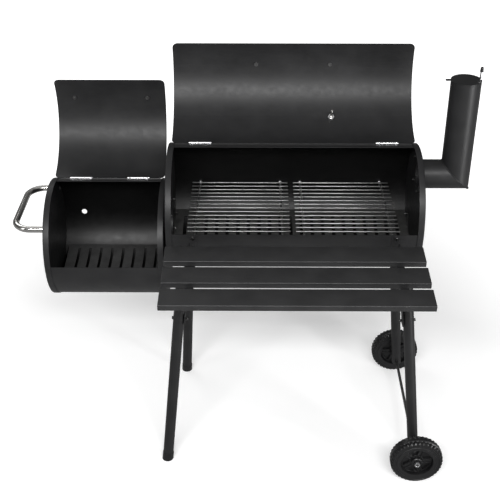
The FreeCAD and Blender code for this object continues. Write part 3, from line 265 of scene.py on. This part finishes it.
def as_object(name, bm, material):
    """A smooth-shaded object of the bmesh, which is used up."""
    mesh = bpy.data.meshes.new(name)
    bm.to_mesh(mesh)
    bm.free()
    for polygon in mesh.polygons:
        polygon.use_smooth = True
    mesh.set_sharp_from_angle(angle=SMOOTH_ABOVE)
    mesh.materials.clear()
    mesh.materials.append(material)
    obj = bpy.data.objects.new(name, mesh)
    bpy.context.scene.collection.objects.link(obj)
    return obj


def stands_for(obj, *nodes):
    """obj replaces CAD nodes and rides as they do."""
    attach(obj, BODY_OF[nodes[0]])
    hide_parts(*nodes)


def welded_copy(node):
    """The CAD node's mesh with its split corners joined and its normals put right."""
    bm = bmesh.new()
    bm.from_mesh(frame["nodes"][node].data)
    bmesh.ops.remove_doubles(bm, verts=bm.verts, dist=WELD_WITHIN)
    flat = [edge for edge in bm.edges
            if len(edge.link_faces) == 2 and edge.calc_face_angle(OPEN_EDGE) < FLAT_BELOW]
    bmesh.ops.dissolve_edges(bm, edges=flat, use_verts=False)
    bmesh.ops.recalc_face_normals(bm, faces=bm.faces)
    return bm


def rounded(node, edge=EDGE, material=None):
    """A piece in the shape of a CAD node, with its sharp edges rounded."""
    finish = material or MATERIAL_OF_NODE.get(node) or MATERIAL_OF_SLOT[SLOT_OF[node]]
    obj = as_object(node + "_finished", welded_copy(node), finish)
    bevel = obj.modifiers.new("rounding", "BEVEL")
    bevel.width = edge
    bevel.segments = 2
    bevel.limit_method = "ANGLE"
    bevel.angle_limit = ROUND_ABOVE
    bevel.harden_normals = True
    stands_for(obj, node)
    return obj


def build_shell(node):
    """A barrel's rolled sheet, with a darker copy of its paint on the faces that look at its axis, as
    painted shade inside the barrel.
    """
    obj = rounded(node)
    obj.data.materials.append(SHADED_PAINT_INSIDE)
    low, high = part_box(node)
    axis = Vector((0, (low.y + high.y) / 2, (low.z + high.z) / 2))
    # faces that look at the axis get the darker paint: painted shade inside the barrel
    for polygon in obj.data.polygons:
        inward = axis - polygon.center
        if polygon.normal.dot(Vector((0, inward.y, inward.z))) > 0:
            polygon.material_index = 1


def close_rings(bm, grid):
    """Joins closed rings of points, each to the next and the last to the first."""
    count = len(grid[0])
    for k, here in enumerate(grid):
        there = grid[(k + 1) % len(grid)]
        for j in range(count):
            bm.faces.new((here[j], there[j], there[(j + 1) % count], here[(j + 1) % count]))
    bmesh.ops.recalc_face_normals(bm, faces=bm.faces)


def mesh_from_curve(curve):
    """The filled mesh of a curve or a text."""
    obj = bpy.data.objects.new(curve.name, curve)
    bpy.context.scene.collection.objects.link(obj)
    bpy.context.view_layer.update()
    mesh = bpy.data.meshes.new_from_object(obj.evaluated_get(bpy.context.evaluated_depsgraph_get()))
    bpy.data.objects.remove(obj)
    return mesh


def capsule(bm, start, end, radius, sides=12, rings=3):
    """A round wire with domed ends."""
    along = end - start
    turn = along.to_track_quat("Z", "Y").to_matrix()
    loops = []
    for tip, way in ((start, -1), (end, 1)):
        angles = [math.pi / 2 * k / rings for k in range(rings)]
        for angle in (reversed(angles) if way < 0 else angles):
            loops.append((tip + along.normalized() * way * radius * math.sin(angle) * DOME,
                          radius * math.cos(angle)))
    grid = []
    for centre, r in loops:
        ring = [bm.verts.new(centre + turn @ Vector((r * math.cos(a), r * math.sin(a), 0)))
                for a in (2 * math.pi * k / sides for k in range(sides))]
        grid.append(ring)
    for lower, upper in zip(grid, grid[1:]):
        for k in range(sides):
            bm.faces.new((lower[k], lower[(k + 1) % sides], upper[(k + 1) % sides], upper[k]))
    bm.faces.new(list(reversed(grid[0])))
    bm.faces.new(grid[-1])


def revolve(bm, centre, axis, profile, sides=64, notch=None):
    """A profile swept round an axis. Its points are (radius, height) or (radius, height, lug), and
    notch(angle) says how much of the lug is cut from the radius there."""
    turn = axis.to_track_quat("Z", "Y").to_matrix()
    grid = []
    for k in range(sides):
        angle = 2 * math.pi * k / sides
        ring = []
        for radius, height, *lug in profile:
            r = radius - (lug[0] * notch(angle) if lug and notch else 0)
            spot = Vector((r * math.cos(angle), r * math.sin(angle), height))
            ring.append(bm.verts.new(centre + turn @ spot))
        grid.append(ring)
    close_rings(bm, grid)


# ---------------------------------------------------------------- wheels

def wheel_window(k, inner, outer, half_spoke, steps=8):
    """The outline of the opening between spoke k and the next, as points round the axle."""
    gap = 2 * math.pi / SPOKES
    first, last = gap * k, gap * (k + 1)
    points = []
    for radius, forward in ((inner, True), (outer, False)):
        lean = math.asin(half_spoke / radius)
        start, end = first + lean, last - lean
        spread = [start + (end - start) * j / steps for j in range(steps + 1)]
        for angle in (spread if forward else reversed(spread)):
            points.append((radius * math.cos(angle), radius * math.sin(angle)))
    return points


def flat_plate(name, outlines, thickness, rounding):
    """A plate from closed outlines, the first outside and the rest holes, as a mesh."""
    curve = bpy.data.curves.new(name, "CURVE")
    curve.dimensions = "2D"
    curve.fill_mode = "BOTH"
    curve.extrude = thickness / 2 - rounding
    curve.bevel_depth = rounding
    curve.bevel_resolution = 2
    for outline in outlines:
        spline = curve.splines.new("POLY")
        spline.points.add(len(outline) - 1)
        for point, (x, y) in zip(spline.points, outline):
            point.co = (x, y, 0, 1)
        spline.use_cyclic_u = True
    return mesh_from_curve(curve)


def circle(radius, steps=96):
    """A circle's outline as points."""
    return [(radius * math.cos(2 * math.pi * k / steps), radius * math.sin(2 * math.pi * k / steps))
            for k in range(steps)]


def build_wheel(node, outward):
    """A moulded wheel with lugs round both shoulders, a recessed five-spoke web and a boss."""
    low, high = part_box(node)
    centre = (low + high) / 2
    radius = (high.z - low.z) / 2
    half = (high.y - low.y) / 2
    rim = RIM * radius
    axis = Vector((0, outward, 0))

    def notch(angle):
        wave = math.sin(LUGS * angle)
        return max(0.0, min(1.0, 0.5 - LUG_STEEPNESS * wave))

    # radius, depth below the wheel's side and lug, from the rim out to the tread
    shoulder = [(rim, 4 * MM), (rim + 1.5 * MM, 1.0 * MM), (0.72 * radius, 0.2 * MM),
                (0.76 * radius, 0.2 * MM), (0.775 * radius, 1.6 * MM), (0.86 * radius, 1.6 * MM),
                (0.875 * radius, 0.2 * MM), (0.915 * radius, 0.4 * MM),
                (0.93 * radius, 1.8 * MM, LUG_DEPTH * 0.5),
                (radius - 1.4 * MM, 4.4 * MM, LUG_DEPTH), (radius - 0.3 * MM, 7.5 * MM, LUG_DEPTH),
                (radius - 0.3 * MM, 11 * MM, LUG_DEPTH), (radius - 1.6 * MM, 12.2 * MM),
                (radius, 13.2 * MM)]
    tread = [(r, depth - half, *lugs_here) for r, depth, *lugs_here in shoulder]
    tread += [(r, half - depth, *lugs_here) for r, depth, *lugs_here in reversed(shoulder)]
    bm = bmesh.new()
    revolve(bm, centre, axis, tread, sides=LUGS * 10, notch=notch)

    boss, bore = BOSS_RADIUS, BORE_RADIUS
    hub = [(bore, -half + 0.4 * MM), (boss, -half + 0.4 * MM), (boss, half - 3 * MM),
           (boss - 1.5 * MM, half - 1.6 * MM), (boss - 4 * MM, half - 1.6 * MM),
           (boss - 5 * MM, half - 3 * MM), (bore, half - 3 * MM)]
    revolve(bm, centre, axis, hub, sides=48)
    turn = axis.to_track_quat("Z", "Y").to_matrix().to_4x4()
    place = Matrix.Translation(centre) @ turn
    pockets = [wheel_window(k, boss + POCKET_MARGIN, rim - POCKET_MARGIN, HALF_SPOKE)
               for k in range(SPOKES)]
    disc = circle(rim + WEB_OVERLAP)
    plates = [flat_plate("web", [disc], WEB_THICKNESS, WEB_ROUNDING),
              flat_plate("spokes", [disc] + pockets, SPOKE_THICKNESS, SPOKE_ROUNDING)]
    for k, pocket in enumerate(pockets):
        edge = wheel_window(k, boss + LIP_MARGIN, rim - LIP_MARGIN, HALF_LIP_SPOKE)
        plates.append(flat_plate("lip", [edge, pocket], LIP_THICKNESS, WEB_ROUNDING))
    for plate in plates:
        plate.transform(place)
        bm.from_mesh(plate)
    stands_for(as_object(node + "_moulded", bm, PLASTIC), node)


# ---------------------------------------------------------------- cooking grates

def build_cooking_grate(node):
    """Long wires resting on two cross wires that get the dark steel as painted shade under the long wires,
    with a small weld at each crossing.
    """
    low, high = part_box(node)
    wire, cross = WIRE_RADIUS, CROSS_RADIUS
    bm = bmesh.new()
    top = high.z - wire
    bottom = low.z + cross
    first, last = low.y + WIRE_OVERHANG + wire, high.y - WIRE_OVERHANG - wire
    rows = [first + (last - first) * k / (LONG_WIRES - 1) for k in range(LONG_WIRES)]
    for y in rows:
        capsule(bm, Vector((low.x + wire * DOME, y, top)), Vector((high.x - wire * DOME, y, top)), wire)
    for x in (low.x + CROSS_INSET, high.x - CROSS_INSET):
        front, rear = low.y + cross * DOME, high.y - cross * DOME
        capsule(bm, Vector((x, front, bottom)), Vector((x, rear, bottom)), cross)
        for y in rows:
            for way in (-1, 1):
                weld = bmesh.ops.create_icosphere(bm, subdivisions=1, radius=SPOT_WELD)["verts"]
                bmesh.ops.scale(bm, vec=(1.5, 1, 0.8), verts=weld)
                bmesh.ops.translate(bm, vec=(x + way * cross * 0.9, y, (top + bottom) / 2), verts=weld)
    obj = as_object(node + "_wires", bm, GRATE_STEEL)
    # the lower cross wires take the dark steel: painted shade under the long wires
    obj.data.materials.append(DARK_STEEL_AND_PAINTED_SHADE)
    for polygon in obj.data.polygons:
        if polygon.center.z < low.z + 2 * cross - 0.1 * MM:
            polygon.material_index = 1
    stands_for(obj, node)
    build_lit_wire_tips(node, low, high)


def build_lit_wire_tips(node, low, high):
    """The rear ends of a grate's cross wires in bright zinc, a painted highlight where they leave the
    painted shade, within the box from low to high.
    """
    bottom = low.z + CROSS_RADIUS
    bm = bmesh.new()
    for x in (low.x + CROSS_INSET, high.x - CROSS_INSET):
        start, end = Vector((x, high.y - TIP_LENGTH, bottom)), Vector((x, high.y - CROSS_RADIUS, bottom))
        capsule(bm, start, end, CROSS_RADIUS + TIP_SWELL)
    # the bright zinc here is a painted highlight on the cross wires' rear ends
    tips = as_object(node + "_lit_wire_tips", bm, ZINC_AND_PAINTED_HIGHLIGHT)
    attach(tips, BODY_OF[node])


# ---------------------------------------------------------------- hinges

def build_hinge(node, joints):
    """Painted leaves, with the knuckles round the pins in bright zinc as a painted highlight."""
    obj = rounded(node, HINGE_EDGE, PAINT)
    obj.data.materials.append(ZINC_AND_PAINTED_HIGHLIGHT)
    for polygon in obj.data.polygons:
        for name in joints:
            pin = Vector(JOINT[name]["pos_m"])
            reach = Vector((0, polygon.center.y - pin.y, polygon.center.z - pin.z)).length
            # faces round a pin get the bright zinc: painted highlight on the knuckles
            if reach < KNUCKLE_REACH:
                polygon.material_index = 1


# ---------------------------------------------------------------- thermometer

def plane_through(node):
    """Centre, outward axis and the two directions across a round node on the main lid."""
    mesh = frame["nodes"][node].data
    centre = sum((v.co for v in mesh.vertices), Vector()) / len(mesh.vertices)
    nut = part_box("thermometer_nut")
    axis = ((centre - (nut[0] + nut[1]) / 2) * Vector((0, 1, 1))).normalized()
    right = Vector((-1, 0, 0))
    return centre, axis, right, axis.cross(right).normalized()


def build_dial():
    """The dial's face with a scale of ticks and plain numbers."""
    rounded("thermometer_dial", FINE_EDGE)
    centre, axis, right, up = plane_through("thermometer_dial")
    heights = [(v.co - centre).dot(axis) for v in frame["nodes"]["thermometer_dial"].data.vertices]
    face = centre + axis * (max(heights) + PRINT_LIFT)
    bm = bmesh.new()
    for k in range(TICK_GAPS + 1):
        angle = math.radians(SCALE_START - SCALE_SWEEP * k / TICK_GAPS)
        long_tick = k % (TICK_GAPS // NUMBER_GAPS) == 0
        way = right * math.cos(angle) + up * math.sin(angle)
        side = axis.cross(way).normalized() * (LONG_TICK_HALF if long_tick else SHORT_TICK_HALF)
        outer, inner = TICK_OUTER, LONG_TICK_INNER if long_tick else SHORT_TICK_INNER
        ring = [face + way * outer + side, face + way * inner + side,
                face + way * inner - side, face + way * outer - side]
        bm.faces.new([bm.verts.new(p) for p in ring])
    for k in range(NUMBER_GAPS + 1):
        angle = math.radians(SCALE_START - SCALE_SWEEP * k / NUMBER_GAPS)
        text = bpy.data.curves.new("number", "FONT")
        text.body = str(NUMBER_STEP * (k + 1))
        text.size = NUMBER_SIZE
        text.align_x, text.align_y = "CENTER", "CENTER"
        mesh = mesh_from_curve(text)
        place = Matrix((right, up, axis)).transposed().to_4x4()
        spot = face + (right * math.cos(angle) + up * math.sin(angle)) * NUMBER_RADIUS
        mesh.transform(Matrix.Translation(spot) @ place)
        bm.from_mesh(mesh)
    scale = as_object("thermometer_scale", bm, INK)
    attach(scale, BODY_OF["thermometer_dial"])


def build_bezel():
    """A rolled bright rim round the thermometer's glass."""
    centre, axis, *_ = plane_through("thermometer_lens")
    bm = bmesh.new()
    ring = [(BEZEL_RADIUS + BEZEL_HALF_WIDTH * math.cos(a), BEZEL_LIFT + BEZEL_HALF_HEIGHT * math.sin(a))
            for a in (2 * math.pi * k / 12 for k in range(12))]
    revolve(bm, centre, axis, ring, sides=96)
    bezel = as_object("thermometer_bezel", bm, CHROME)
    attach(bezel, BODY_OF["thermometer_case"])


# ---------------------------------------------------------------- chimney

def build_chimney_weld():
    """The rippled bead where the elbow's two pipes meet on a slanting plane."""
    low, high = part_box("chimney_stack")
    radius = (high.y - low.y) / 2
    middle = Vector(((low.x + high.x) / 2, (low.y + high.y) / 2, 0))
    corner = low.z + radius
    steps, sides = 240, 10
    bm = bmesh.new()
    grid = []
    for k in range(steps):
        angle = 2 * math.pi * k / steps
        out = Vector((math.cos(angle), math.sin(angle), 0))
        spot = middle + out * (radius + 0.2 * MM) + Vector((0, 0, corner - radius * math.cos(angle)))
        ripple = RIPPLE_DEPTH * math.sin(BEAD_RIPPLES * angle)
        swell = BEAD_RADIUS * (1 + ripple + LUMP_DEPTH * noise.noise(spot * LUMPS_PER_METRE))
        along = Vector((-math.sin(angle), math.cos(angle), math.sin(angle))).normalized()
        other = along.cross(out).normalized()
        grid.append([bm.verts.new(spot + (out * math.cos(a) + other * math.sin(a)) * swell)
                     for a in (2 * math.pi * j / sides for j in range(sides))])
    close_rings(bm, grid)
    weld = as_object("chimney_weld_bead", bm, PAINT)
    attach(weld, BODY_OF["chimney_stack"])


def build_damper_knob():
    """A tapered knob with fine grip ribs and a rounded top."""
    low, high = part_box("damper_knob")
    centre = Vector(((low.x + high.x) / 2, (low.y + high.y) / 2, low.z))
    radius, height = (high.y - low.y) / 2, high.z - low.z
    profile = [(0.2 * MM, 0), (radius - 0.5 * MM, 0), (radius, 0.6 * MM), (radius, 2.2 * MM, 0.1 * MM),
               (radius * 0.93, height * 0.4, 0.3 * MM), (radius * 0.86, height * 0.75, 0.3 * MM),
               (radius * 0.78, height * 0.9), (radius * 0.55, height * 0.98), (0.2 * MM, height)]
    bm = bmesh.new()
    revolve(bm, centre, Vector((0, 0, 1)), profile, sides=96,
            notch=lambda angle: 0.5 + 0.5 * math.sin(KNOB_RIBS * angle))
    stands_for(as_object("damper_knob_ribbed", bm, PLASTIC), "damper_knob")


# ---------------------------------------------------------------- the rest

def build_rounded_nodes():
    """Every other node keeps its CAD shape, with rounded edges and its own finish."""
    own = {"front_wheel", "rear_wheel", "cooking_grate_left", "cooking_grate_right", "damper_knob",
           "hinge_fixed_leaves", "main_lid_hinge_leaves", "firebox_lid_hinge_leaves",
           "thermometer_dial", "main_barrel_shell", "firebox_shell"}
    fine = {"body_bolts", "leg_bolts", "grate_rest_bolts", "shelf_screws", "axle_nuts",
            "main_lid_handle_screws", "firebox_lid_handle_screws", "side_handle_screws", "hinge_pins",
            "air_vent_rivet", "thermometer_nut", "thermometer_needle", "thermometer_lens",
            "damper_post", "damper_sleeve"}
    for node in sorted(frame["nodes"]):
        if node not in own:
            rounded(node, FINE_EDGE if node in fine else EDGE_OF.get(node, EDGE))


def build_stage():
    """A plain pale floor, soft lights and the camera."""
    floor_bm = bmesh.new()
    bmesh.ops.create_grid(floor_bm, x_segments=2, y_segments=2, size=FLOOR_HALF)
    floor = as_object("floor", floor_bm, floor_material())
    floor.location.z = -FLOOR_BELOW
    floor.visible_glossy = False

    bpy.context.scene.world = studio_world()
    for light in LIGHTS:
        soft_light(*light)

    camera_data = bpy.data.cameras.new("camera")
    camera_data.lens = CAMERA_LENS
    camera_data.sensor_width = CAMERA_SENSOR
    camera = bpy.data.objects.new("camera", camera_data)
    camera.location = CAMERA_PLACE
    camera.rotation_euler = (math.radians(90 - CAMERA_PITCH), 0, math.radians(CAMERA_YAW))
    bpy.context.scene.collection.objects.link(camera)
    bpy.context.scene.camera = camera
    bpy.context.scene.view_settings.view_transform = "Standard"


def studio_world():
    """Light that is bright overhead and dim lower down, and a plain white that only the camera sees."""
    world = bpy.data.worlds.new("studio")
    world.use_nodes = True
    nodes, links = world.node_tree.nodes, world.node_tree.links
    coords = nodes.new("ShaderNodeTexCoord")
    split = nodes.new("ShaderNodeSeparateXYZ")
    links.new(coords.outputs["Generated"], split.inputs["Vector"])
    path = nodes.new("ShaderNodeLightPath")
    mix = nodes.new("ShaderNodeMix")
    mix.data_type = "RGBA"
    links.new(path.outputs["Is Camera Ray"], mix.inputs["Factor"])
    links.new(ramp(world, split.outputs["Z"], SKY), mix.inputs["A"])
    mix.inputs["B"].default_value = (1, 1, 1, 1)
    links.new(mix.outputs["Result"], nodes["Background"].inputs["Color"])
    nodes["Background"].inputs["Strength"].default_value = 1.0
    return world


def floor_material():
    """A pale sheet that glows more with distance, so that its far edge is lost in the white."""
    material = textured("pale_floor", (0.9, 0.9, 0.9), (0.93, 0.93, 0.93), (0.85, 0.95), specular=0.1,
                        patches=0.7, grain=80.0, grain_height=0.01)
    shader = material.node_tree.nodes["Principled BSDF"]
    shader.inputs["Emission Color"].default_value = (1, 1, 1, 1)
    nodes, links = material.node_tree.nodes, material.node_tree.links
    away = nodes.new("ShaderNodeVectorMath")
    away.operation = "LENGTH"
    links.new(nodes["Texture Coordinate"].outputs["Object"], away.inputs[0])
    glow = nodes.new("ShaderNodeMapRange")
    for socket, value in (("From Min", GLOW_FROM), ("From Max", GLOW_FULL),
                          ("To Min", GLOW_LEAST), ("To Max", 1.0)):
        glow.inputs[socket].default_value = value
    links.new(away.outputs["Value"], glow.inputs["Value"])
    links.new(glow.outputs["Result"], shader.inputs["Emission Strength"])
    return material


def soft_light(name, place, target, width, height, power):
    """A rectangle of light at place, turned towards target."""
    data = bpy.data.lights.new(name, "AREA")
    data.shape = "RECTANGLE"
    data.size, data.size_y = width, height
    data.energy = power
    light = bpy.data.objects.new(name, data)
    light.location = place
    light.rotation_euler = (Vector(target) - Vector(place)).to_track_quat("-Z", "Y").to_euler()
    bpy.context.scene.collection.objects.link(light)


build_stage()
build_rounded_nodes()
for shell in ("main_barrel_shell", "firebox_shell"):
    build_shell(shell)
build_wheel("front_wheel", -1)
build_wheel("rear_wheel", 1)
for grate in ("cooking_grate_left", "cooking_grate_right"):
    build_cooking_grate(grate)
build_hinge("hinge_fixed_leaves", ("main_lid_hinge", "firebox_lid_hinge"))
build_hinge("main_lid_hinge_leaves", ("main_lid_hinge",))
build_hinge("firebox_lid_hinge_leaves", ("firebox_lid_hinge",))
build_dial()
build_bezel()
build_chimney_weld()
build_damper_knob()
